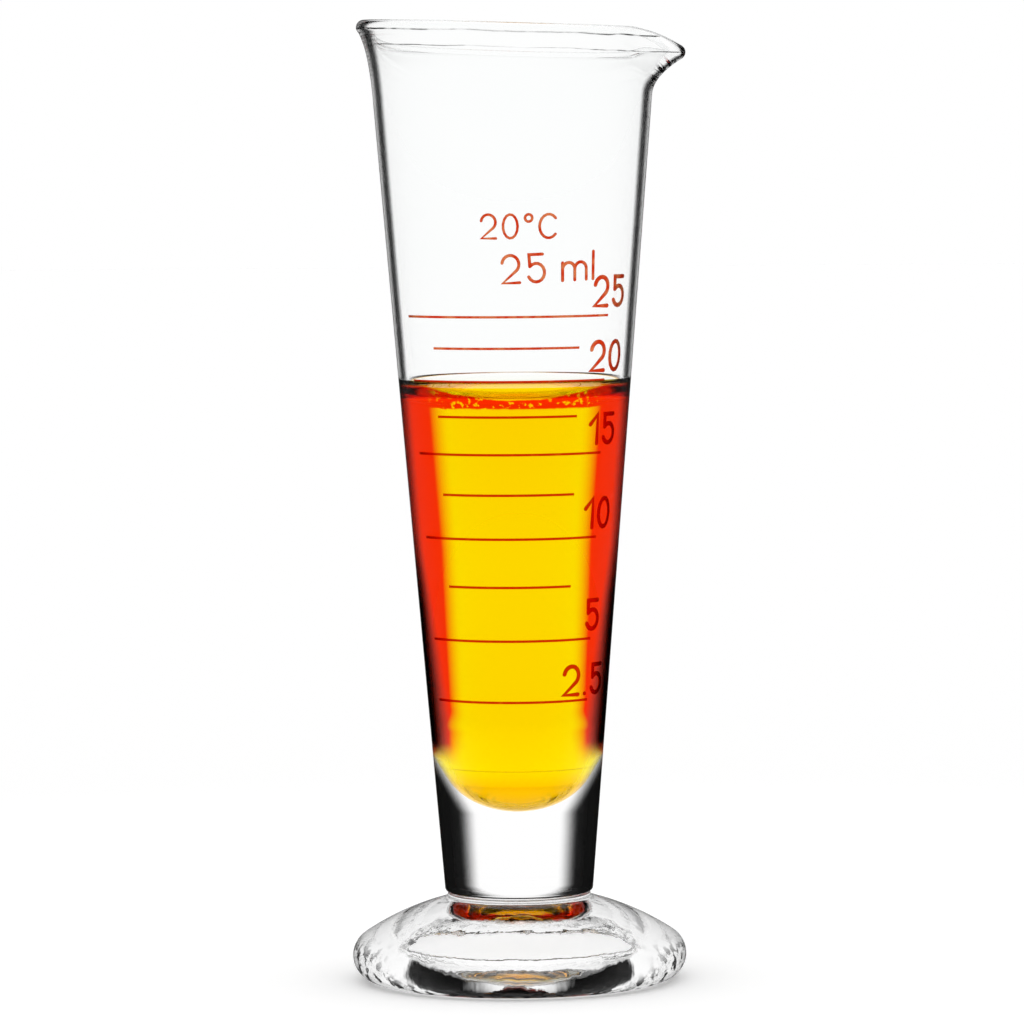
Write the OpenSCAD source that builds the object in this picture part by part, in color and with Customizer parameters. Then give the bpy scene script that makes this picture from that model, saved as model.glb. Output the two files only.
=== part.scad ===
// Conical glass graduate: a footed conical measure with a flared rim, a pouring lip,
// fired-on enamel marks at true volumes, and the liquid that stands in it.
// Millimetres. The origin is the centre of the foot's underside, +Z is up, the pouring
// lip points along +X and the marks face -Y.

/* [Cone] */
// Height of the rim's top, halfway along its slope
rim_height = 122.2; // [110:0.1:150]
// Height of the seam between the stem and the foot
seam_height = 11.4; // [11.3:0.1:14]
// Outer diameter of the solid stem at the seam
stem_d = 18.95; // [15:0.05:22]
// Outer diameter of the cone where the flare starts
mouth_d = 35.6; // [32:0.1:44]
// Rounding of the stem's lower edge
stem_edge = 0.35; // [0.2:0.05:0.8]
// Wall thickness where the flare starts
wall_mouth = 0.8; // [0.6:0.05:1.6]
// Wall thickness at the shoulder above the cavity's tip
wall_low = 1.85; // [1.2:0.05:2.4]

/* [Cavity tip] */
// Height of the cavity's lowest point
floor_height = 22.2; // [16:0.1:30]
// Radius of the cavity's round tip
tip_r = 6.5; // [4:0.1:7]
// Half angle of the narrow cone above the tip, in degrees
tip_angle = 24; // [18:1:35]

/* [Rim] */
// How far the rim falls from the side behind the lip to the lip's side
rim_fall = 1.4; // [0:0.1:3]
// Height of the band below the rim that bends into the flare and the lip
flare_band = 9; // [8:0.1:14]
// Distance from the rim's top down to the flare's bend
flare_bend = 3.1; // [2:0.1:4]
// How far the middle of the flared rim stands out past the cone
flare_reach = 0.7; // [0.4:0.1:2]
// Thickness of the rounded rim
bead_d = 1.9; // [1.2:0.1:2.2]

/* [Pouring lip] */
// How far the lip's end stands out past the flared rim
lip_reach = 2.4; // [1:0.1:4]
// How far the lip's end lies below the rim
lip_drop = 2.1; // [1:0.1:3]
// How much lower than the flare the lip bends out of the wall
lip_depth = 2.7; // [1:0.1:4]
// Half width of the lip, as an angle around the rim, in degrees
lip_angle = 34; // [24:1:50]

/* [Foot] */
// Diameter of the foot
foot_d = 42.8; // [38:0.1:56]
// Radius of the foot's round edge
foot_edge = 3.2; // [2.6:0.1:3.8]
// Height at which the foot's domed top would meet the neck
foot_crown = 10.6; // [9.6:0.1:10.6]
// Radius of the domed top's curve
foot_dome = 34; // [24:1:60]
// Radius of the hollow between the neck and the domed top
neck_fillet = 0.9; // [0.5:0.1:0.9]
// Width of the flat ring that the foot stands on, around the recess
ring_w = 1.2; // [0.8:0.1:6]
// Depth of the recess under the foot
recess_depth = 7; // [1:0.1:8]
// How flat the recess is in its middle, from 2 for a plain bowl upwards
recess_flatness = 4; // [2:0.5:6]

/* [Liquid] */
// Mark that the liquid's upper edge reaches, in millilitres
liquid_mark = 20; // [7.5:2.5:25]
// How far the liquid climbs the wall
meniscus_rise = 3.2; // [1:0.1:3.4]
// Radius of the curve with which it climbs
meniscus_r = 3.8; // [3.6:0.1:6]
// Thickness of the liquid's upper edge
meniscus_edge = 0.06; // [0.02:0.01:0.2]
// Clearance between the liquid and the glass
liquid_clearance = 0.03; // [0.01:0.01:0.1]

/* [Marks] */
// Volume between two neighbouring marks, in millilitres
mark_step = 2.5; // [2:0.1:2.6]
// Thickness of the fired-on enamel
enamel = 0.08; // [0.04:0.01:0.2]
// Width of a graduation line
line_w = 0.31; // [0.2:0.01:0.6]
// Half length of a numbered line, as an angle around the axis, in degrees
long_angle = 54; // [40:1:60]
// Half length of a line between numbered ones, as an angle, in degrees
short_angle = 37; // [20:1:40]

/* [Lettering] */
// Height of the numerals
digit_h = 4.05; // [3:0.05:4.6]
// Width of a numeral
digit_w = 2.65; // [2:0.05:3.2]
// Width of the pen's stroke in the captions
stroke_w = 0.42; // [0.25:0.01:0.6]
// Weight of the numerals' strokes against the captions'
numeral_weight = 1.3; // [0.8:0.05:1.5]
// Free space between two characters
letter_gap = 0.68; // [0.4:0.01:1]
// Distance from a line's middle up to its numeral
numeral_rise = 1; // [0.4:0.05:1.4]
// Angle around the axis of the middle of the numerals, in degrees
numeral_angle = 55; // [45:0.5:70]
// The same distance and angle for the lowest numeral, which stands apart from the others
first_rise = 0.55; // [0.4:0.05:1.4]
first_angle = 51.5; // [45:0.5:70]
// Distance from the top line's middle up to the capacity caption
capacity_rise = 4.25; // [1:0.05:8]
// Angle around the axis of the middle of the capacity caption, in degrees
capacity_angle = 21.5; // [0:0.5:30]
// Slope of the capacity caption, in degrees
capacity_tilt = 2; // [-4:0.5:4]
// Size of the capacity caption against the numerals
capacity_size = 0.95; // [0.6:0.05:1]
// Free height between the two captions
caption_gap = 1.6; // [1:0.05:4]
// Angle around the axis of the middle of the temperature caption, in degrees
temperature_angle = 7; // [0:1:30]
// Size of the temperature caption against the numerals
temperature_size = 0.82; // [0.6:0.01:1]

/* [Hidden] */
$fn = 96;

glass_colour = [0.86, 0.92, 0.92, 0.45];
enamel_colour = [0.85, 0.2, 0.08];
liquid_colour = [1, 0.72, 0.05, 0.8];

// Outer cone, as a radius that grows with height
flare_base = rim_height - flare_band;
stem_r = stem_d / 2;
outer_slope = (mouth_d - stem_d) / 2 / (flare_base - seam_height);
function outer_r(z) = stem_r + (z - seam_height) * outer_slope;

// Where the cavity's round tip runs into the narrow cone, for a cavity smaller by gap
tip_z = floor_height + tip_r;
tip_slope = tan(tip_angle);
function tip_end(gap) = [
    (tip_r - gap) * cos(tip_angle),
    tip_z - (tip_r - gap) * sin(tip_angle)
];

// Shoulder where the narrow cone meets the long inner cone
shoulder_z = (outer_r(0) - wall_low - tip_end(0).x + tip_end(0).y * tip_slope)
    / (tip_slope - outer_slope);
shoulder_r = outer_r(shoulder_z) - wall_low;
inner_slope = (outer_r(flare_base) - wall_mouth - shoulder_r) / (flare_base - shoulder_z);
function inner_r(z, gap = 0) = shoulder_r + (z - shoulder_z) * inner_slope - gap;
function shoulder_at(gap) =
    (inner_r(0, gap) - tip_end(gap).x + tip_end(gap).y * tip_slope) / (tip_slope - inner_slope);

// Volume below the shoulder, and the height that a volume reaches in the inner cone
cap_h = tip_r - tip_r * sin(tip_angle);
cap_volume = PI * pow(cap_h, 2) * (tip_r - cap_h / 3);
throat_volume = PI / 3 * (shoulder_z - tip_end(0).y)
    * (pow(tip_end(0).x, 2) + tip_end(0).x * shoulder_r + pow(shoulder_r, 2));
mm3_per_ml = 1000;
function mark_r(ml) = pow(
    pow(shoulder_r, 3) + 3 * inner_slope / PI * (ml * mm3_per_ml - cap_volume - throat_volume),
    1 / 3
);
function mark_z(ml) = shoulder_z + (mark_r(ml) - shoulder_r) / inner_slope;

// Margin by which a cutting shape passes what it cuts
over = 1;

// Half profile of the cavity up to a height, smaller by gap all round
module cavity_profile(gap, top) {
    tip = tip_end(gap);
    shoulder = shoulder_at(gap);
    intersection() {
        translate([0, tip_z]) circle(r = tip_r - gap);
        translate([0, floor_height - over]) square([tip_r + over, tip.y - floor_height + over]);
    }
    polygon([
        [0, tip.y], tip, [inner_r(shoulder, gap), shoulder], [inner_r(top, gap), top], [0, top]
    ]);
}

// Rim: a bent sheet of glass with a round edge, swept around the mouth

// Share of the lip at an angle from +X, from 1 at its middle to 0 past its sides
function lip_share(angle) = abs(angle) < lip_angle ? pow(cos(90 * angle / lip_angle), 2) : 0;
function rim_top(angle) = rim_height - rim_fall / 2 * cos(angle);
function sheet_r(z) = (outer_r(z) + inner_r(z)) / 2;

// Three points that steer the sheet's middle line: on the wall, at the bend and at the rim
function sheet_start() = [sheet_r(flare_base), flare_base];
function sheet_bend(angle) =
    let (z = rim_top(angle) - flare_bend - lip_share(angle) * lip_depth)
    [sheet_r(z), z];
function sheet_end(angle) =
    let (z = rim_top(angle) - bead_d / 2)
    [
        sheet_r(z) + flare_reach + lip_share(angle) * lip_reach,
        z - lip_share(angle) * lip_drop
    ];
function sheet_point(angle, t) =
    pow(1 - t, 2) * sheet_start() + 2 * t * (1 - t) * sheet_bend(angle) + pow(t, 2) * sheet_end(angle);
function unit(v) = v / norm(v);
function sheet_along(angle, t) = unit(
    (1 - t) * (sheet_bend(angle) - sheet_start()) + t * (sheet_end(angle) - sheet_bend(angle))
);

// The sheet starts a little thinner than the wall that it stands on, and reaches down into it
rim_inset = 0.04;
rim_seat = 0.5;
start_half = (outer_r(flare_base) - inner_r(flare_base)) / 2 - rim_inset;
function seat_point(side) = [
    sheet_r(flare_base - rim_seat) + side * start_half,
    flare_base - rim_seat
];
function sheet_half(t) = start_half + (bead_d / 2 - start_half) * pow(t, 2);
function sheet_out(angle, t) =
    let (along = sheet_along(angle, t))
    t == 0 ? [1, 0] : [along.y, -along.x];

// Closed outline of the rim's cross-section: up the outside, round the edge, down the inside
sheet_steps = 7;
round_steps = 5;
function rim_section(angle) = concat(
    [seat_point(1)],
    [for (i = [0 : sheet_steps])
        let (t = i / sheet_steps)
        sheet_point(angle, t) + sheet_out(angle, t) * sheet_half(t)],
    [for (i = [1 : round_steps - 1])
        let (turn = 180 * i / round_steps)
        sheet_point(angle, 1) + bead_d / 2
            * (cos(turn) * sheet_out(angle, 1) + sin(turn) * sheet_along(angle, 1))],
    [for (i = [sheet_steps : -1 : 0])
        let (t = i / sheet_steps)
        sheet_point(angle, t) - sheet_out(angle, t) * sheet_half(t)],
    [seat_point(-1)]
);

rim_turns = 80;
section_points = len(rim_section(0));
module rim() {
    points = [
        for (k = [0 : rim_turns - 1])
            let (angle = 360 * k / rim_turns - 180)
            for (p = rim_section(angle)) [p.x * cos(angle), p.x * sin(angle), p.y]
    ];
    faces = [
        for (k = [0 : rim_turns - 1], i = [0 : section_points - 1])
            let (
                j = (i + 1) % section_points,
                here = k * section_points,
                next = ((k + 1) % rim_turns) * section_points
            )
            for (face = [[here + i, here + j, next + j], [here + i, next + j, next + i]]) face
    ];
    polyhedron(points, faces);
}

// Bowl: the solid stem, the conical wall, the rim and the pouring lip, in one piece of glass
module bowl() {
    color(glass_colour) union() {
        rotate_extrude() difference() {
            union() {
                polygon([
                    [0, seam_height],
                    [stem_r - stem_edge, seam_height],
                    [outer_r(seam_height + stem_edge), seam_height + stem_edge],
                    [outer_r(flare_base), flare_base],
                    [0, flare_base]
                ]);
                translate([stem_r - stem_edge, seam_height + stem_edge]) circle(r = stem_edge);
            }
            cavity_profile(0, flare_base + over);
        }
        rim();
    }
}

// Foot: a round edge, a domed top that runs into it, a neck that carries the stem and a recess below
seat_r = stem_r - stem_edge;

// Centre of the dome, which passes through the crown and runs smoothly into the edge
crown = [seat_r, foot_crown];
edge = [foot_d / 2 - foot_edge, foot_edge];
crown_to_edge = norm(edge - crown);
dome_along = (pow(foot_dome, 2) - pow(foot_dome - foot_edge, 2) + pow(crown_to_edge, 2))
    / (2 * crown_to_edge);
dome_aside = sqrt(pow(foot_dome, 2) - pow(dome_along, 2));
fall = unit(edge - crown);
dome = crown + fall * dome_along + [fall.y, -fall.x] * dome_aside;
dome_end = dome + foot_dome * unit(edge - dome);

// Recess under the foot, inside the ring that it stands on
recess_r = edge.x - ring_w;
recess_steps = 24;
function recess_z(share) = recess_depth * (1 - pow(share, recess_flatness));
module recess_profile() {
    polygon(concat(
        [[recess_r, -over], [0, -over]],
        [for (i = [0 : recess_steps])
            let (share = sin(90 * i / recess_steps))
            [recess_r * share, recess_z(share)]]
    ));
}

// Hollow that touches the neck and the dome
hollow_r = seat_r + neck_fillet;
hollow = [
    hollow_r,
    dome.y + sqrt(pow(foot_dome + neck_fillet, 2) - pow(hollow_r - dome.x, 2))
];
dome_start = dome + foot_dome * unit(hollow - dome);

module foot_profile() {
    difference() {
        union() {
            square([seat_r, seam_height]);
            polygon([[0, 0], [dome_start.x, 0], dome_start, hollow, [0, hollow.y]]);
            square(edge);
            translate(edge) circle(r = foot_edge);
            intersection() {
                translate(dome) circle(r = foot_dome);
                polygon([
                    [dome_start.x, 0], [edge.x, 0], edge,
                    dome_end, [dome_end.x, dome_start.y], dome_start
                ]);
            }
        }
        translate(hollow) circle(r = neck_fillet);
        recess_profile();
    }
}

module foot() {
    color(glass_colour) rotate_extrude() intersection() {
        foot_profile();
        square([foot_d, seam_height]);
    }
}

// Liquid: fills the cavity up to its mark, with a surface that climbs the wall
module liquid() {
    edge_z = mark_z(liquid_mark);
    level = edge_z - meniscus_rise;
    climb = sqrt(pow(meniscus_r, 2) - pow(meniscus_r - meniscus_rise, 2));
    level_r = inner_r(edge_z, liquid_clearance) - meniscus_edge - climb;
    color(liquid_colour) rotate_extrude() intersection() {
        difference() {
            cavity_profile(liquid_clearance, edge_z);
            translate([level_r, level + meniscus_r]) circle(r = meniscus_r);
            translate([-over, level]) square([level_r + over, meniscus_rise + over]);
        }
        square([mouth_d, rim_height]);
    }
}

// Enamel film that lies on the outer cone between two heights
module film_profile(low, high) {
    polygon([
        [outer_r(low), low],
        [outer_r(low) + enamel, low],
        [outer_r(high) + enamel, high],
        [outer_r(high), high]
    ]);
}

// Graduation line, centred on -Y
module graduation(count) {
    z = mark_z(count * mark_step);
    half_angle = numbered(count) ? long_angle : short_angle;
    color(enamel_colour)
        rotate([0, 0, -90 - half_angle])
        rotate_extrude(angle = 2 * half_angle)
        film_profile(z - line_w / 2, z + line_w / 2);
}

// Every second line has a number, and so has the first
function numbered(count) = count == 1 || count % 2 == 0;
top_mark = 10;
capacity_z = mark_z(top_mark * mark_step) + capacity_rise;

// Pen strokes: a path of points drawn with round ends and an even width, which each word sets as $pen
pen = stroke_w / 2;
arc_steps = 14;
cap_steps = 5;
mitre_limit = 1.5;

function arc(centre, r, from, to) = [
    for (i = [0 : arc_steps])
        let (angle = from + (to - from) * i / arc_steps)
        centre + [r.x * cos(angle), r.y * sin(angle)]
];
function left_of(v) = [-v.y, v.x];
function heading(path, i) = unit(path[min(i + 1, len(path) - 1)] - path[min(i, len(path) - 2)]);
function pen_side(path, i) =
    let (
        come = left_of(heading(path, max(i - 1, 0))),
        go = left_of(heading(path, i)),
        middle = unit(come + go)
    )
    path[i] + middle * $pen * min(mitre_limit, 1 / (middle * go));
function pen_cap(end, forward) = [
    for (i = [1 : cap_steps - 1])
        let (turn = 180 * i / cap_steps)
        end + $pen * (cos(turn) * left_of(forward) + sin(turn) * forward)
];
function reversed(path) = [for (i = [len(path) - 1 : -1 : 0]) path[i]];
function pen_half(path) = concat(
    [for (i = [0 : len(path) - 1]) pen_side(path, i)],
    pen_cap(path[len(path) - 1], heading(path, len(path) - 1))
);

module pen_line(path) {
    polygon(concat(pen_half(path), pen_half(reversed(path))));
}

// Closed oval drawn with the same pen
module pen_oval(centre, r) {
    translate(centre) difference() {
        polygon(arc([0, 0], r + [$pen, $pen], 0, 360 - 360 / (arc_steps + 1)));
        polygon(arc([0, 0], r - [$pen, $pen], 0, 360 - 360 / (arc_steps + 1)));
    }
}

// Characters, each between x = 0 and its own width, and standing on y = 0
oval = [digit_w - stroke_w, digit_h - stroke_w] / 2;
middle = [digit_w, digit_h] / 2;
right_x = digit_w - pen;
top_y = digit_h - pen;
small_h = digit_h * 0.68;
arch_r = oval.x * 0.8;
point_w = stroke_w * 1.2;
ring_r = oval.x * 0.5;
capital_r = oval.x * 1.3;
capital_open = 42;

function glyph_w(glyph) =
    glyph == "1" ? digit_w * 0.62 :
    glyph == "." ? point_w :
    glyph == "m" ? 4 * arch_r + stroke_w :
    glyph == "l" ? stroke_w :
    glyph == "ring" ? 2 * ring_r + stroke_w :
    glyph == "C" ? (1 + cos(capital_open)) * capital_r + stroke_w :
    glyph == " " ? letter_gap :
    digit_w;

module character(glyph) {
    if (glyph == "0") pen_oval(middle, oval);
    if (glyph == "1") one();
    if (glyph == "2") two();
    if (glyph == "5") five();
    if (glyph == "C") capital_c();
    if (glyph == "m") letter_m();
    if (glyph == "l") pen_line([[pen, pen], [pen, top_y]]);
    if (glyph == ".") translate([point_w / 2, point_w / 2]) circle(d = point_w);
    if (glyph == "ring") pen_oval([ring_r + pen, top_y - ring_r], [ring_r, ring_r]);
}

module capital_c() {
    centre = [capital_r + pen, middle.y];
    pen_line(arc(centre, [capital_r, oval.y], capital_open, 360 - capital_open));
}

module one() {
    flag = glyph_w("1") - stroke_w;
    pen_line([[pen, top_y - flag], [pen + flag, top_y], [pen + flag, pen]]);
}

module two() {
    hook = [oval.x, oval.x * 1.05];
    centre = [middle.x, top_y - hook.y];
    pen_line(concat(arc(centre, hook, 170, -46), [[pen, pen], [right_x, pen]]));
}

module five() {
    hook = [oval.x, oval.x * 1.1];
    centre = [middle.x, pen + hook.y];
    enter = 138;
    corner = [stroke_w, top_y];
    pen_line(arc(centre, hook, enter, -155));
    pen_line([arc(centre, hook, enter, enter)[0], corner, [right_x - pen, top_y]]);
}

module letter_m() {
    arch_y = small_h - pen - arch_r;
    pen_line([[pen, pen], [pen, small_h - pen]]);
    for (arch = [0 : 1]) {
        centre = [pen + (2 * arch + 1) * arch_r, arch_y];
        pen_line(concat(arc(centre, [arch_r, arch_r], 165, 0), [[centre.x + arch_r, pen]]));
    }
}

// Words: each character is cut from the enamel film at its own angle around the axis
function word_w(word, count) =
    count == 0 ? 0 : word_w(word, count - 1) + glyph_w(word[count - 1]) + letter_gap;

module lettering(word, z, angle, size = 1, tilt = 0, weight = 1) {
    $pen = pen * weight;
    r = outer_r(z);
    width = word_w(word, len(word)) - letter_gap;
    color(enamel_colour) for (i = [0 : len(word) - 1]) {
        half_w = glyph_w(word[i]) / 2;
        along = (word_w(word, i) + half_w - width / 2) * size;
        turn = angle + along / r * 180 / PI;
        if (word[i] != " ") intersection() {
            rotate_extrude() film_profile(z - digit_h, z + 2 * digit_h);
            rotate([0, 0, turn]) rotate([90, 0, 0]) translate([0, z + along * tan(tilt), r / 2])
                linear_extrude(height = r)
                rotate(tilt) scale(size) translate([-half_w, 0]) character(word[i]);
        }
    }
}

module numeral(count, word, rise = numeral_rise, angle = numeral_angle) {
    lettering(word, mark_z(count * mark_step) + rise, angle, weight = numeral_weight);
}

module caption_capacity() {
    lettering(["2", "5", " ", "m", "l"], capacity_z, capacity_angle, capacity_size, capacity_tilt);
}

module caption_temperature() {
    z = capacity_z + digit_h * capacity_size + caption_gap;
    lettering(["2", "0", "ring", "C"], z, temperature_angle, temperature_size);
}

bowl();
foot();
liquid();
graduation(1);  // graduation_2_5
graduation(2);  // graduation_5
graduation(3);  // graduation_7_5
graduation(4);  // graduation_10
graduation(5);  // graduation_12_5
graduation(6);  // graduation_15
graduation(7);  // graduation_17_5
graduation(8);  // graduation_20
graduation(9);  // graduation_22_5
graduation(10);  // graduation_25
numeral(1, ["2", ".", "5"], first_rise, first_angle);  // numeral_2_5
numeral(2, ["5"]);  // numeral_5
numeral(4, ["1", "0"]);  // numeral_10
numeral(6, ["1", "5"]);  // numeral_15
numeral(8, ["2", "0"]);  // numeral_20
numeral(10, ["2", "5"]);  // numeral_25
caption_capacity();
caption_temperature();
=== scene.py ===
"""Looks of the conical glass graduate: clear glass, orange liquid and fired-on enamel marks."""

import math

import bpy
import numpy as np
from mathutils import Matrix, Vector


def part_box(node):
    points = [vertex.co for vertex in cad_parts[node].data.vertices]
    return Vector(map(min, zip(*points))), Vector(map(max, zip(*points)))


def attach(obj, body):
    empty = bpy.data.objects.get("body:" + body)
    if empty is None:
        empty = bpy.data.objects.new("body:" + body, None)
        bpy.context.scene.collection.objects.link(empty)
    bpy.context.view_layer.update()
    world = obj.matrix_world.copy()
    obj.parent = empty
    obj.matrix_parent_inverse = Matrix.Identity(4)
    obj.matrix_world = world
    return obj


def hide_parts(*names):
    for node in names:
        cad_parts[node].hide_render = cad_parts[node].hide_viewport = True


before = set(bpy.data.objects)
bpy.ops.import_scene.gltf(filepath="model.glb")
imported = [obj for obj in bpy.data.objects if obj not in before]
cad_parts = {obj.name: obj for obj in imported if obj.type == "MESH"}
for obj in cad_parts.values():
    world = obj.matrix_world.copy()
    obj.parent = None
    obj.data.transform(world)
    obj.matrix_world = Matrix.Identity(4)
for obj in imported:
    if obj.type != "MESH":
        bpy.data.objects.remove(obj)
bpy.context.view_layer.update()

MM = 0.001
BODY = "root"

# Sizes read from the frame
bowl_low, bowl_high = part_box("bowl")
_, foot_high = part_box("foot")
liquid_low, liquid_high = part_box("liquid")
first_low, first_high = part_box("graduation_2_5")
last_low, last_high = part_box("graduation_25")

# Glass walls
ENAMEL = 0.08 * MM
WALL_LOW = 1.85 * MM
WALL_MOUTH = 0.8 * MM
STEM_EDGE = 0.35 * MM
TIP_R = 6.5 * MM
TIP_ANGLE = math.radians(24)
SHOULDER_BEND = 1.6 * MM
LIQUID_CLEARANCE = 0.03 * MM

# Rim and pouring lip
RIM_FALL = 1.4 * MM
FLARE_BAND = 9 * MM
FLARE_BEND = 3.1 * MM
FLARE_REACH = 0.7 * MM
BEAD_D = 1.9 * MM
LIP_REACH = 2.4 * MM
LIP_DROP = 2.1 * MM
LIP_DEPTH = 2.7 * MM
LIP_ANGLE = math.radians(34)

# Foot
FOOT_EDGE = 3.2 * MM
FOOT_CROWN = 10.6 * MM
FOOT_DOME = 34 * MM
NECK_FILLET = 0.9 * MM
RING_WIDTH = 1.2 * MM
RECESS_DEPTH = 7 * MM
RECESS_FLATNESS = 4

# How far one clear piece reaches into the next, so that light crosses the joint as in one piece
FUSED = 0.04 * MM

# Surface of the liquid: its climb up the wall and its capillary length
MENISCUS_RISE = 3.2 * MM
CAPILLARY = 2.36 * MM

# Steps around the axis
BOWL_TURNS = 288
TURNS = 256

# Points of the rim's round edge that count as inside
INNER_EDGE_POINTS = 8

SEAM_Z = bowl_low.z
FLOOR_Z = liquid_low.z - LIQUID_CLEARANCE
RIM_Z = bowl_high.z - RIM_FALL / 2
FLARE_Z = RIM_Z - FLARE_BAND
CONTACT_Z = liquid_high.z
FOOT_R = foot_high.x

outer_slope = (first_low.y - last_low.y) / (last_high.z - first_high.z)


def outer_r(z):
    return -first_low.y - ENAMEL + (z - first_high.z) * outer_slope


# Cavity: a round tip, a narrow cone and the long inner cone, which meet at the shoulder
tip_end = Vector((TIP_R * math.cos(TIP_ANGLE), FLOOR_Z + TIP_R - TIP_R * math.sin(TIP_ANGLE)))
shoulder_z = (outer_r(0) - WALL_LOW - tip_end.x + tip_end.y * math.tan(TIP_ANGLE)) / (
    math.tan(TIP_ANGLE) - outer_slope
)
shoulder_r = outer_r(shoulder_z) - WALL_LOW
inner_slope = (outer_r(FLARE_Z) - WALL_MOUTH - shoulder_r) / (FLARE_Z - shoulder_z)


def inner_r(z):
    return shoulder_r + (z - shoulder_z) * inner_slope


# Outlines, as lists of points (radius, height)

def arc(centre, radius, start, end, steps):
    angles = np.radians(np.linspace(start, end, steps + 1))
    return [(centre[0] + radius * math.cos(a), centre[1] + radius * math.sin(a)) for a in angles]


def line(start, end, steps):
    return [tuple(p) for p in np.linspace(start, end, steps + 1)]


def curve(start, bend, end, t):
    """Point on a curve that leaves start towards bend and comes from bend to end."""
    return (1 - t) ** 2 * start + 2 * t * (1 - t) * bend + t * t * end


def cavity_line(grow, top_z):
    """Half outline of the cavity, larger by grow, from its lowest point up to a height."""
    tip = arc((0, FLOOR_Z + TIP_R), TIP_R + grow, -90, -math.degrees(TIP_ANGLE), 24)
    shoulder = Vector((shoulder_r + grow, shoulder_z))
    before = shoulder + (Vector(tip[-1]) - shoulder).normalized() * SHOULDER_BEND
    after = shoulder + Vector((inner_slope, 1)).normalized() * SHOULDER_BEND
    turn = [tuple(curve(before, shoulder, after, t)) for t in np.linspace(0, 1, 9).tolist()]
    throat = line(tip[-1], turn[0], 6)[1:-1]
    wall = line(turn[-1], (inner_r(top_z) + grow, top_z), 48)[1:]
    return tip + throat + turn + wall


def lip_share(angle):
    return math.cos(math.pi / 2 * angle / LIP_ANGLE) ** 2 if abs(angle) < LIP_ANGLE else 0.0


def rim_section(angle):
    """Outline of the bent rim at an angle from the lip: its outside with the round edge, and its inside."""
    share = lip_share(angle)
    top = RIM_Z - RIM_FALL / 2 * math.cos(angle)
    sheet_r = lambda z: (outer_r(z) + inner_r(z)) / 2
    bend_z = top - FLARE_BEND - share * LIP_DEPTH
    end_z = top - BEAD_D / 2
    start = Vector((sheet_r(FLARE_Z), FLARE_Z))
    bend = Vector((sheet_r(bend_z), bend_z))
    end = Vector((sheet_r(end_z) + FLARE_REACH + share * LIP_REACH, end_z - share * LIP_DROP))
    outside, inside = [], []
    for t in np.linspace(0, 1, 25).tolist():
        point = curve(start, bend, end, t)
        along = ((1 - t) * (bend - start) + t * (end - bend)).normalized()
        out = Vector((along.y, -along.x))
        half = WALL_MOUTH / 2 + (BEAD_D - WALL_MOUTH) / 2 * t * t
        outside.append(tuple(point + out * half))
        inside.append(tuple(point - out * half))
    edge = [
        tuple(point + BEAD_D / 2 * (math.cos(turn) * out + math.sin(turn) * along))
        for turn in np.linspace(0, math.pi, 13).tolist()[1:-1]
    ]
    return outside + edge, inside[::-1]


# Meshes

def swept_mesh(name, sections):
    """Closed mesh through half outlines that stand at even angles around the axis and end on it."""
    sections = np.array(sections, float)
    turns, count = sections.shape[:2]
    angles = np.arange(turns) * 2 * math.pi / turns
    r, z = sections[:, 1:-1, 0], sections[:, 1:-1, 1]
    rings = np.stack([r * np.cos(angles)[:, None], r * np.sin(angles)[:, None], z], -1)
    poles = [(0, 0, sections[0, 0, 1]), (0, 0, sections[0, -1, 1])]
    points = np.concatenate([rings.reshape(-1, 3), poles])
    inner = count - 2
    at = lambda k, i: (k % turns) * inner + i
    faces = []
    for i in range(inner - 1):
        faces += [(at(k, i), at(k + 1, i), at(k + 1, i + 1), at(k, i + 1)) for k in range(turns)]
    faces += [(turns * inner, at(k + 1, 0), at(k, 0)) for k in range(turns)]
    faces += [(turns * inner + 1, at(k, inner - 1), at(k + 1, inner - 1)) for k in range(turns)]
    mesh = bpy.data.meshes.new(name)
    mesh.from_pydata(points.tolist(), [], faces)
    mesh.polygons.foreach_set("use_smooth", [True] * len(faces))
    return mesh


def add_piece(name, mesh, slot, *nodes):
    piece = bpy.data.objects.new(name, mesh)
    bpy.context.scene.collection.objects.link(piece)
    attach(piece, BODY)
    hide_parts(*nodes)


def bowl_outline(angle):
    """Half outline of the bowl at an angle from the lip, and how many of its points lie outside."""
    base = SEAM_Z - FUSED
    seat_r = outer_r(SEAM_Z) - STEM_EDGE
    round_z = SEAM_Z + STEM_EDGE
    outside, inside = rim_section(angle)
    skin = line((0, base), (seat_r, base), 8)
    skin += arc((seat_r, round_z), STEM_EDGE, -90, -4, 6)
    skin += line((outer_r(round_z), round_z), (outer_r(FLARE_Z), FLARE_Z), 90)
    skin += outside[1:]
    return skin + inside[:-1] + cavity_line(0, FLARE_Z)[::-1], len(skin)


def make_bowl():
    turns = BOWL_TURNS
    angles = [(k * 2 * math.pi / turns + math.pi) % (2 * math.pi) - math.pi for k in range(turns)]
    outlines = [bowl_outline(angle) for angle in angles]
    mesh = swept_mesh("bowl_glass", [points for points, _ in outlines])
    points, outside = outlines[0]
    mesh.materials.append(outer_glass())
    mesh.materials.append(inner_glass())
    inner_start = outside - INNER_EDGE_POINTS
    rings = [int(i >= inner_start) for i in range(len(points) - 3) for _ in range(turns)]
    mesh.polygons.foreach_set("material_index", rings + [0] * turns + [1] * turns)
    add_piece("bowl_glass", mesh, "glass", "bowl")


def turn_of(vector):
    return math.degrees(math.atan2(vector.y, vector.x))


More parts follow.
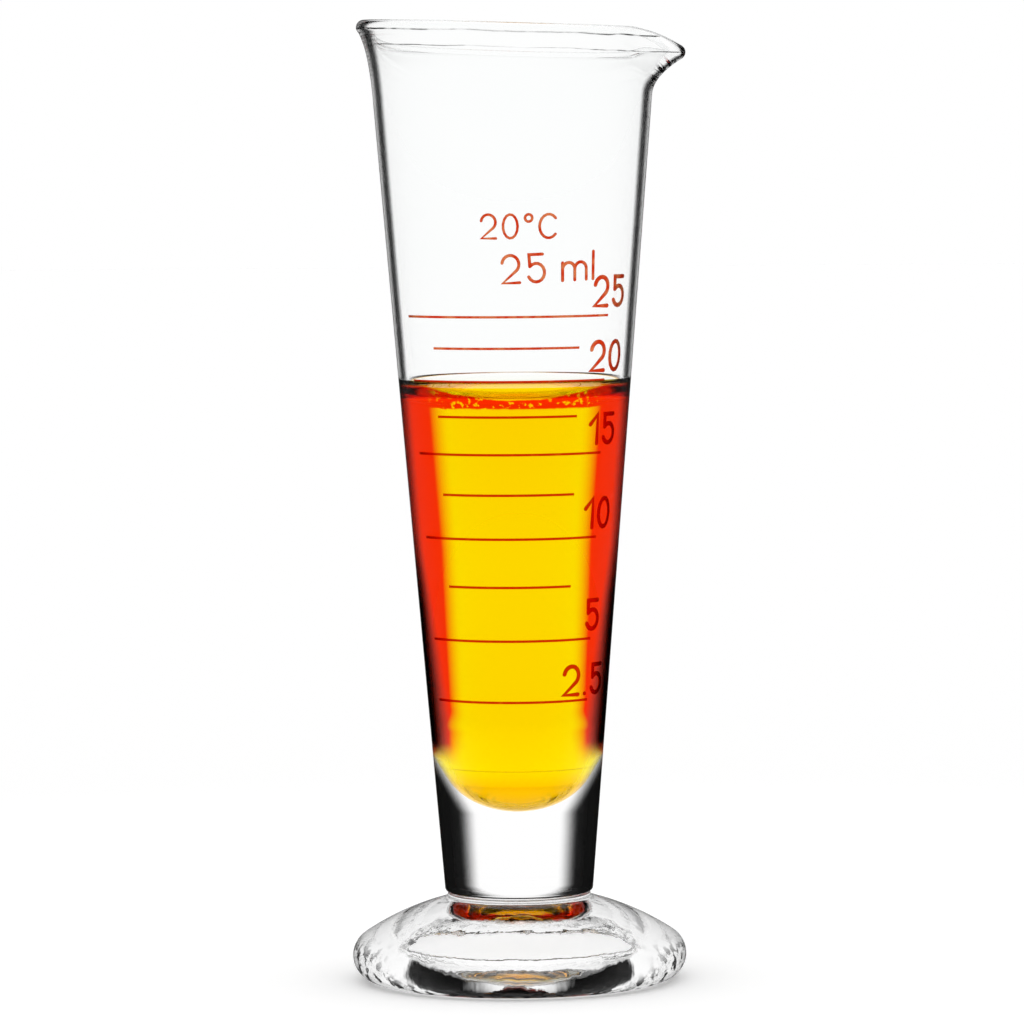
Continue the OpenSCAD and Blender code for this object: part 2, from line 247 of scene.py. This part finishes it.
def foot_outline():
    """Half outline of the foot: recess, standing ring, round edge, dome, hollow and neck."""
    seat_r = outer_r(SEAM_Z) - STEM_EDGE
    crown = Vector((seat_r, FOOT_CROWN))
    edge = Vector((FOOT_R - FOOT_EDGE, FOOT_EDGE))
    reach = (edge - crown).length
    fall = (edge - crown) / reach
    along = (FOOT_DOME**2 - (FOOT_DOME - FOOT_EDGE) ** 2 + reach**2) / (2 * reach)
    dome = crown + fall * along + Vector((fall.y, -fall.x)) * math.sqrt(FOOT_DOME**2 - along**2)
    hollow_r = seat_r + NECK_FILLET
    rise = math.sqrt((FOOT_DOME + NECK_FILLET) ** 2 - (hollow_r - dome.x) ** 2)
    hollow = Vector((hollow_r, dome.y + rise))
    edge_turn = turn_of(edge - dome)
    hollow_turn = turn_of(hollow - dome)
    recess_r = edge.x - RING_WIDTH
    shares = np.sin(np.linspace(0, math.pi / 2, 49)).tolist()
    points = [(recess_r * s, RECESS_DEPTH * (1 - s**RECESS_FLATNESS)) for s in shares]
    points += line(points[-1], (edge.x, 0), 8)[1:]
    points += arc(edge, FOOT_EDGE, -90, edge_turn, 40)[1:]
    points += arc(dome, FOOT_DOME, edge_turn, hollow_turn, 48)[1:]
    points += arc(hollow, NECK_FILLET, hollow_turn - 180, -180, 16)[1:]
    points += line(points[-1], (seat_r, SEAM_Z), 2)[1:]
    return points + line((seat_r, SEAM_Z), (0, SEAM_Z), 8)[1:]


def make_foot():
    mesh = swept_mesh("foot_glass", [foot_outline()] * TURNS)
    mesh.materials.append(foot_glass())
    add_piece("foot_glass", mesh, "foot_glass", "foot")


def meniscus():
    """Surface of the liquid from the wall to the middle, as surface tension and gravity shape it."""
    wall_turn = 2 * math.asin(MENISCUS_RISE / 2 / CAPILLARY)
    reach = lambda turn: math.log(math.tan(turn / 4)) + 2 * math.cos(turn / 2)
    level = CONTACT_Z - MENISCUS_RISE
    wall_r = inner_r(CONTACT_Z)
    flat_turn = 0.01
    least_r = 0.5 * MM
    points = [
        (
            wall_r - CAPILLARY * (reach(wall_turn) - reach(turn)),
            level + 2 * CAPILLARY * math.sin(turn / 2),
        )
        for turn in np.geomspace(wall_turn, flat_turn, 40).tolist()
    ]
    return [p for p in points if p[0] > least_r] + [(0, level)]


def make_liquid():
    side = cavity_line(FUSED, CONTACT_Z)
    mesh = swept_mesh("liquid_fill", [side + meniscus()] * TURNS)
    mesh.materials.append(dyed_liquid())
    add_piece("liquid_fill", mesh, "liquid", "liquid")


# Shader nodes

WHITE = (1, 1, 1, 1)
BLACK = (0, 0, 0, 1)


def new_material(name):
    material = bpy.data.materials.new(name)
    material.use_nodes = True
    return material, material.node_tree, material.node_tree.nodes["Principled BSDF"]


def link_or_set(tree, socket, value):
    if isinstance(value, bpy.types.NodeSocket):
        tree.links.new(value, socket)
    else:
        socket.default_value = value


def maths(tree, operation, *values):
    node = tree.nodes.new("ShaderNodeMath")
    node.operation = operation
    for socket, value in zip(node.inputs, values):
        link_or_set(tree, socket, value)
    return node.outputs[0]


def product(tree, first, second):
    return maths(tree, "MULTIPLY", first, second)


def total(tree, first, second):
    return maths(tree, "ADD", first, second)


def stretch(tree, value, low, high, to_low=0.0, to_high=1.0, kind="SMOOTHSTEP"):
    """Takes low to high over to to_low to to_high, and holds still outside."""
    node = tree.nodes.new("ShaderNodeMapRange")
    node.interpolation_type = kind
    names = ("Value", "From Min", "From Max", "To Min", "To Max")
    for name, given in zip(names, (value, low, high, to_low, to_high)):
        link_or_set(tree, node.inputs[name], given)
    return node.outputs["Result"]


def between(tree, value, rise, full, fall, gone):
    """1 between full and fall, running out to 0 at rise and at gone."""
    rising = stretch(tree, value, rise, full)
    return product(tree, rising, stretch(tree, value, fall, gone, 1.0, 0.0))


def mix_colours(tree, share, first, second):
    node = tree.nodes.new("ShaderNodeMix")
    node.data_type = "RGBA"
    link_or_set(tree, node.inputs["Factor"], share)
    for name, value in zip(("A", "B"), (first, second)):
        socket = next(s for s in node.inputs if s.name == name and s.type == "RGBA")
        link_or_set(tree, socket, value)
    return next(s for s in node.outputs if s.type == "RGBA")


def geometry(tree, output):
    return tree.nodes.new("ShaderNodeNewGeometry").outputs[output]


def light_path(tree, output):
    return tree.nodes.new("ShaderNodeLightPath").outputs[output]


def parts_of(tree, vector):
    """X, Y and Z of a vector."""
    parts = tree.nodes.new("ShaderNodeSeparateXYZ")
    tree.links.new(vector, parts.inputs[0])
    return parts.outputs


def place(tree):
    """Coordinates of the point that is shaded."""
    return parts_of(tree, geometry(tree, "Position"))


def height(tree):
    return place(tree)["Z"]


def radius(tree):
    """Distance from the axis."""
    point = place(tree)
    squares = [product(tree, point[axis], point[axis]) for axis in "XY"]
    return maths(tree, "SQRT", total(tree, *squares))


def upward(tree):
    """Sine of the angle at which the surface faces up."""
    return parts_of(tree, geometry(tree, "Normal"))["Z"]


def outside(tree):
    """1 where the surface is met from outside, and 0 from inside."""
    return maths(tree, "SUBTRACT", 1.0, geometry(tree, "Backfacing"))


def slant(tree):
    """Sine of the angle at which the surface is met: 0 head on, 1 at its edge, and 0 from inside."""
    weight = tree.nodes.new("ShaderNodeLayerWeight")
    weight.inputs["Blend"].default_value = 0.5
    cosine = maths(tree, "SUBTRACT", 1.0, weight.outputs["Facing"])
    sine = maths(tree, "SQRT", maths(tree, "SUBTRACT", 1.0, product(tree, cosine, cosine)))
    return product(tree, sine, outside(tree))


def grain(tree, size, detail):
    """Even noise around 0.5 with grains of a size, the same all over the object."""
    noise = tree.nodes.new("ShaderNodeTexNoise")
    noise.inputs["Scale"].default_value = 1 / size
    noise.inputs["Detail"].default_value = detail
    tree.links.new(geometry(tree, "Position"), noise.inputs["Vector"])
    return noise.outputs["Fac"]


def set_clear(shader, ior):
    shader.inputs["Base Color"].default_value = WHITE
    shader.inputs["Transmission Weight"].default_value = 1
    shader.inputs["Roughness"].default_value = 0
    shader.inputs["IOR"].default_value = ior
    shader.inputs["Specular Tint"].default_value = BLACK


def paint_shade(tree, shader, share):
    """Paints shade into a clear shader where share is 1: there it turns black, standing in for the dark
    surroundings that glass shows.
    """
    tree.links.new(mix_colours(tree, share, WHITE, BLACK), shader.inputs["Base Color"])
    tree.links.new(share, shader.inputs["Metallic"])


# Glass, with painted dark edges given by the sine at which they start, their width and the most that they
# darken

GLASS_IOR = 1.5
INNER_TINT = (0.96, 0.98, 0.975, 1)

STEM_START = (0.535, 0.97)
STEM_WIDTH = 0.24
STEM_MOST = 0.965
STEM_RUN = 8.5 * MM

WET_START = (0.75, 0.9)
WET_WIDTH = (0.23, 0.09)
WET_MOST = (0.98, 0.6)
WET_RUN = 22 * MM
WET_FADE = (-8 * MM, 4 * MM)
WET_FOOT = (6 * MM, 9 * MM)

DRY_BAND = (0.915, 0.955, 0.965, 1.0)
DRY_MOST = 0.84
CONTACT_SOFT = 0.2 * MM

# A surface that faces further down than this is the stem's underside
UNDERSIDE = -0.9

# Depths under the rim at which a painted dark line starts, is full, ends and is gone
EDGE_LINE = (1.2 * MM, 1.27 * MM, 1.33 * MM, 1.45 * MM)
CREASE_LINE = (3.2 * MM, 3.25 * MM, 3.3 * MM, 3.36 * MM)
LINE_WAVE = 0.4 * MM

# Unevenness of the pressed foot
SWELL = 5 * MM
RIPPLE = 1.2 * MM
RIPPLE_SHARE = 0.15
UNEVEN_DEPTH = 0.1 * MM
# Size of the painted dark specks at the foot's edge, and the most that they darken
SPECK = 1.3 * MM
SPECK_MOST = 0.85


def outer_glass():
    """Glass of the bowl's outside. Its edges are painted dark, standing in for the dark sides that it bends
    into view, and painted dark lines run around the rim.
    """
    material, tree, shader = new_material("outer_glass")
    set_clear(shader, GLASS_IOR)
    edge, z = slant(tree), height(tree)
    # Painted shade at the glass's edges: a band on the dry wall above the liquid, and wider dark edges
    # beside the liquid and along the stem
    dry = product(tree, between(tree, edge, *DRY_BAND), DRY_MOST)
    is_dry = stretch(tree, z, CONTACT_Z - CONTACT_SOFT, CONTACT_Z + CONTACT_SOFT)
    wall = stretch(tree, is_dry, 0.0, 1.0, wet_edge(tree, edge, z), dry, "LINEAR")
    dark = maths(tree, "MAXIMUM", stem_edge(tree, edge, z), wall)
    dark = product(tree, dark, maths(tree, "GREATER_THAN", upward(tree), UNDERSIDE))
    paint_shade(tree, shader, maths(tree, "MAXIMUM", dark, painted_rim_lines(tree, edge)))
    return material


def stem_edge(tree, edge, z):
    """Wide painted dark edge of the solid stem, which narrows beside the cavity's tip."""
    start = stretch(tree, z, FLOOR_Z, FLOOR_Z + STEM_RUN, *STEM_START, "LINEAR")
    return stretch(tree, edge, start, total(tree, start, STEM_WIDTH), 0.0, STEM_MOST)


def wet_edge(tree, edge, z):
    """Painted dark edge beside the liquid, which narrows and fades upwards from the shoulder."""
    top_z = shoulder_z + WET_RUN
    start = stretch(tree, z, shoulder_z, top_z, *WET_START, "LINEAR")
    width = stretch(tree, z, shoulder_z, top_z, *WET_WIDTH, "LINEAR")
    most = stretch(tree, z, top_z + WET_FADE[0], top_z + WET_FADE[1], *WET_MOST)
    share = stretch(tree, edge, start, total(tree, start, width), 0.0, most)
    return product(tree, share, stretch(tree, z, FLOOR_Z + WET_FOOT[0], FLOOR_Z + WET_FOOT[1]))


def painted_rim_lines(tree, edge):
    """Painted dark lines that run around the rim, under its round edge and where the flare starts, darker
    where the glass is met aslant.
    """
    point = place(tree)
    fall = product(tree, point["X"], RIM_FALL / 2 / bowl_high.y)
    depth = maths(tree, "SUBTRACT", maths(tree, "SUBTRACT", RIM_Z, fall), point["Z"])
    depth = total(tree, depth, product(tree, grain(tree, 6 * MM, 2), LINE_WAVE))
    broken = stretch(tree, grain(tree, 2.5 * MM, 2), 0.35, 0.55, 0.3, 1.0)
    under = between(tree, depth, *EDGE_LINE)
    under = product(tree, under, stretch(tree, edge, 0.3, 0.9, 0.3, 1.0))
    crease = between(tree, depth, *CREASE_LINE)
    crease = product(tree, crease, stretch(tree, edge, 0.3, 0.8, 0.2, 0.9))
    front = maths(tree, "GREATER_THAN", edge, 0.0)
    lines = product(tree, maths(tree, "MAXIMUM", under, crease), broken)
    return product(tree, lines, front)


def inner_glass():
    material, tree, shader = new_material("inner_glass")
    set_clear(shader, GLASS_IOR)
    colour = mix_colours(tree, grain(tree, 20 * MM, 2), WHITE, INNER_TINT)
    tree.links.new(colour, shader.inputs["Base Color"])
    return material


def foot_glass():
    """Pressed glass: clear, but not quite even, with specks of painted shade where its round edge is met
    aslant.
    """
    material, tree, shader = new_material("foot_glass")
    set_clear(shader, GLASS_IOR)
    ripple = product(tree, grain(tree, RIPPLE, 2), RIPPLE_SHARE)
    bump = tree.nodes.new("ShaderNodeBump")
    bump.inputs["Distance"].default_value = UNEVEN_DEPTH
    tree.links.new(total(tree, grain(tree, SWELL, 2), ripple), bump.inputs["Height"])
    tree.links.new(bump.outputs[0], shader.inputs["Normal"])
    # Painted shade: dark specks low on the round edge, darker where it is met aslant
    specks = stretch(tree, grain(tree, SPECK, 4), 0.5, 0.58)
    specks = product(tree, specks, stretch(tree, slant(tree), 0.75, 0.95, 0.0, SPECK_MOST))
    low = stretch(tree, height(tree), FOOT_EDGE, 2 * FOOT_EDGE, 1.0, 0.0)
    paint_shade(tree, shader, product(tree, specks, low))
    return material


# Liquid, with painted red sides given by the sine at which they start and their width

LIQUID_IOR = 1.33
DYE = (1, 0.936, 0, 1)
DYE_DENSITY = 250

BODY_HIGH = (1, 0.94, 0, 1)
BODY_LOW = (1, 0.72, 0, 1)
NEAR_SURFACE = (1, 0.85, 0, 1)
NEAR_TIP = (1, 0.36, 0, 1)
# Colours of the painted dark rings in the tip and of the painted red sides
RINGS = (0.35, 0.02, 0, 1)
SIDES = (0.88, 0.0012, 0, 1)

# Light that has passed more surfaces than this comes back from the far side
FIRST_PASSAGE = 4.5

RED_START = (0.48, 0.43)
RED_WIDTH = 0.13
RED_RUN = 22 * MM
RED_FOOT = (-6.5 * MM, -3 * MM)
BEND_HALF = 1.5 * MM
BEND_SHIFT = 0.13
THROAT_SHIFT = 0.2

BODY_RUN = 20 * MM
SURFACE_DEPTH = (3.5 * MM, 2 * MM)
TIP_RISE = (2.5 * MM, 6 * MM)

# Depths under the liquid's edge at which the painted red band starts and ends, and how far it climbs at the
# sides
BAND_TOP = 2.2 * MM
BAND_SOFT = 0.2 * MM
BAND_END = (3.3 * MM, 3.6 * MM)
BAND_CLIMB = 5 * MM
BAND_WAVE = 0.5 * MM

# Heights over the tip's end at which a painted dark ring starts, is full, ends and is gone, and its share
THIN_RING = (1.4 * MM, 1.46 * MM, 1.52 * MM, 1.58 * MM)
THIN_SHARE = 0.5
SOFT_RING = (-1.2 * MM, -0.7 * MM, -0.6 * MM, -0.4 * MM)
SOFT_SHARE = 0.16


def dyed_liquid():
    """Clear orange liquid, painted red where the view runs along its sides."""
    material, tree, shader = new_material("dyed_liquid")
    set_clear(shader, LIQUID_IOR)
    edge, z = slant(tree), height(tree)
    # Painted light: the red sides and the red band under the surface
    red = maths(tree, "MAXIMUM", red_sides(tree, edge, z), surface_band(tree, edge, z))
    dyed = mix_colours(tree, red, liquid_body(tree, z), SIDES)
    side = maths(tree, "LESS_THAN", upward(tree), 0.0)
    first = maths(tree, "LESS_THAN", light_path(tree, "Transmission Depth"), FIRST_PASSAGE)
    side = product(tree, side, product(tree, outside(tree), first))
    tree.links.new(mix_colours(tree, side, WHITE, dyed), shader.inputs["Base Color"])
    absorb = tree.nodes.new("ShaderNodeVolumeAbsorption")
    absorb.inputs["Color"].default_value = DYE
    absorb.inputs["Density"].default_value = DYE_DENSITY
    tree.links.new(absorb.outputs[0], tree.nodes["Material Output"].inputs["Volume"])
    return material


def red_sides(tree, edge, z):
    """Painted red sides, which narrow below the shoulder and end above the tip."""
    low_z, high_z = shoulder_z - BEND_HALF, shoulder_z + BEND_HALF
    start = stretch(tree, z, shoulder_z, shoulder_z + RED_RUN, *RED_START, "LINEAR")
    bend = stretch(tree, z, low_z, high_z, BEND_SHIFT, 0.0)
    throat = stretch(tree, z, tip_end.y, low_z, THROAT_SHIFT, 0.0, "LINEAR")
    start = total(tree, start, total(tree, bend, throat))
    red = stretch(tree, edge, start, total(tree, start, RED_WIDTH))
    return product(tree, red, stretch(tree, z, shoulder_z + RED_FOOT[0], shoulder_z + RED_FOOT[1]))


def surface_band(tree, edge, z):
    """Painted red band under the climbing surface, standing in for the light that the surface throws back
    down. It widens at the red sides.
    """
    wave = product(tree, maths(tree, "SUBTRACT", grain(tree, 2 * MM, 3), 0.5), BAND_WAVE)
    depth = total(tree, maths(tree, "SUBTRACT", CONTACT_Z, z), wave)
    climb = product(tree, product(tree, edge, edge), BAND_CLIMB)
    start = maths(tree, "SUBTRACT", BAND_TOP, climb)
    share = stretch(tree, depth, start, total(tree, start, BAND_SOFT))
    share = product(tree, share, stretch(tree, depth, *BAND_END, 1.0, 0.0))
    # Painted yellow glints in the red band
    glints = stretch(tree, grain(tree, 0.7 * MM, 3), 0.56, 0.64, 1.0, 0.35)
    return product(tree, share, glints)


def liquid_body(tree, z):
    """Colour of the liquid seen head on: yellow, deeper downwards and orange in the tip, with two painted
    dark rings.
    """
    low = stretch(tree, z, tip_end.y, shoulder_z + BODY_RUN, 1.0, 0.0, "LINEAR")
    body = mix_colours(tree, low, BODY_HIGH, BODY_LOW)
    surface = stretch(tree, z, CONTACT_Z - SURFACE_DEPTH[0], CONTACT_Z - SURFACE_DEPTH[1])
    body = mix_colours(tree, surface, body, NEAR_SURFACE)
    tip = stretch(tree, z, FLOOR_Z + TIP_RISE[0], FLOOR_Z + TIP_RISE[1], 1.0, 0.0)
    body = mix_colours(tree, tip, body, NEAR_TIP)
    above = maths(tree, "SUBTRACT", z, tip_end.y)
    # Two painted dark rings over the tip's end
    thin = product(tree, between(tree, above, *THIN_RING), THIN_SHARE)
    soft = product(tree, between(tree, above, *SOFT_RING), SOFT_SHARE)
    return mix_colours(tree, total(tree, thin, soft), body, RINGS)


# Enamel

FILM_IOR = 1.0
FILM_THICK = (0.62, 0.036, 0.006, 1)
FILM_THIN = (0.74, 0.26, 0.1, 1)
FILM_ASLANT = (0.02, 0.0, 0.0, 1)
WORN = (-0.08, 0.12)
WORN_RUN = 4 * MM


def enamel_material():
    """Fired-on film that colours the light through it, thinner in places and denser from the side."""
    material, tree, shader = new_material("enamel")
    set_clear(shader, FILM_IOR)
    worn = stretch(tree, height(tree), CONTACT_Z, CONTACT_Z + WORN_RUN, *WORN)
    patchy = total(tree, grain(tree, 1.1 * MM, 3), worn)
    thin = stretch(tree, patchy, 0.48, 0.8, 0.0, 0.7)
    film = mix_colours(tree, thin, FILM_THICK, FILM_THIN)
    dense = stretch(tree, slant(tree), 0.7, 0.92, 0.0, 0.93)
    tree.links.new(mix_colours(tree, dense, film, FILM_ASLANT), shader.inputs["Base Color"])
    return material


# Stage: a white floor and sky, dim in reflections, with a dark band in the sky that only shows through glass

ROOM = 0.06
DARK_BAND = (0.45, 0.55, 0.9, 1.0)
DARK_SKY = 0.004

FLOOR_HALF = 4.0
FLOOR_DROP = 0.05 * MM
# Painted glow of the floor: its strength under the foot and around it, and the radii where each fades out
PAINTED_GLOW_UNDER = 0.7
PAINTED_GLOW_UNDER_END = (4 * MM, 1 * MM)
PAINTED_GLOW_AROUND = 0.12
PAINTED_GLOW_AROUND_END = (50 * MM, 250 * MM)


def mirrored(tree):
    """1 for a ray that comes straight from a reflection, and 0 for one that comes through the glass."""
    passed = maths(tree, "SUBTRACT", 1.0, light_path(tree, "Is Transmission Ray"))
    return product(tree, light_path(tree, "Is Glossy Ray"), passed)


def make_floor():
    """White floor with a painted glow: strong under the foot, where the glass would keep the light away, and
    faint around it, where it lightens the foot's shadow.
    """
    mesh = bpy.data.meshes.new("floor")
    corners = [(-1, -1), (1, -1), (1, 1), (-1, 1)]
    points = [(x * FLOOR_HALF, y * FLOOR_HALF, -FLOOR_DROP) for x, y in corners]
    mesh.from_pydata(points, [], [(0, 1, 2, 3)])
    floor = bpy.data.objects.new("floor", mesh)
    bpy.context.scene.collection.objects.link(floor)
    material, tree, shader = new_material("floor_white")
    colour = mix_colours(tree, mirrored(tree), WHITE, (ROOM, ROOM, ROOM, 1))
    tree.links.new(colour, shader.inputs["Base Color"])
    r = radius(tree)
    under = stretch(tree, r, FOOT_R - PAINTED_GLOW_UNDER_END[0], FOOT_R - PAINTED_GLOW_UNDER_END[1], PAINTED_GLOW_UNDER, 0.0)
    around = stretch(tree, r, *PAINTED_GLOW_AROUND_END, PAINTED_GLOW_AROUND, 0.0)
    tree.links.new(maths(tree, "MAXIMUM", under, around), shader.inputs["Emission Strength"])
    shader.inputs["Emission Color"].default_value = WHITE
    shader.inputs["Roughness"].default_value = 1
    shader.inputs["Specular IOR Level"].default_value = 0
    mesh.materials.append(material)


def make_world():
    world = bpy.data.worlds.new("studio")
    bpy.context.scene.world = world
    world.use_nodes = True
    tree = world.node_tree
    back = tree.nodes["Background"]
    back.inputs["Color"].default_value = WHITE
    coordinates = tree.nodes.new("ShaderNodeTexCoord")
    direction = parts_of(tree, coordinates.outputs["Generated"])
    dark = between(tree, direction["Z"], *DARK_BAND)
    dark = product(tree, dark, light_path(tree, "Is Transmission Ray"))
    through = stretch(tree, dark, 0.0, 1.0, 1.0, DARK_SKY, "LINEAR")
    mirror = stretch(tree, mirrored(tree), 0.0, 1.0, 1.0, ROOM, "LINEAR")
    tree.links.new(maths(tree, "MINIMUM", through, mirror), back.inputs["Strength"])


def make_camera():
    azimuth = math.radians(4.8)
    distance = 0.755
    eye_z = 0.1085
    aim_z = 0.060
    aim_left = 0.5 * MM
    roll = math.radians(0.5)
    flat = math.sqrt(distance**2 - (eye_z - aim_z) ** 2)
    back = Vector((math.sin(azimuth), -math.cos(azimuth), 0))
    right = Vector((math.cos(azimuth), math.sin(azimuth), 0))
    eye = back * flat + Vector((0, 0, eye_z)) - right * aim_left
    aim = Vector((0, 0, aim_z)) - right * aim_left
    data = bpy.data.cameras.new("camera")
    data.lens = 207.5
    data.sensor_width = 36
    camera = bpy.data.objects.new("camera", data)
    bpy.context.scene.collection.objects.link(camera)
    turned = (aim - eye).to_track_quat("-Z", "Y").to_matrix() @ Matrix.Rotation(-roll, 3, "Z")
    camera.matrix_world = Matrix.Translation(eye) @ turned.to_4x4()
    bpy.context.scene.camera = camera


# Light crosses many surfaces of glass and liquid before it leaves the object
BOUNCES = 96

scene = bpy.context.scene
scene.view_settings.view_transform = "Standard"
scene.cycles.max_bounces = BOUNCES
scene.cycles.transmission_bounces = BOUNCES
scene.cycles.glossy_bounces = BOUNCES

make_camera()
make_world()
make_floor()
make_bowl()
make_foot()
make_liquid()
enamel = enamel_material()
for name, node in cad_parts.items():
    if name.startswith(("graduation", "numeral", "caption")):
        node.data.materials.clear()
        node.data.materials.append(enamel)
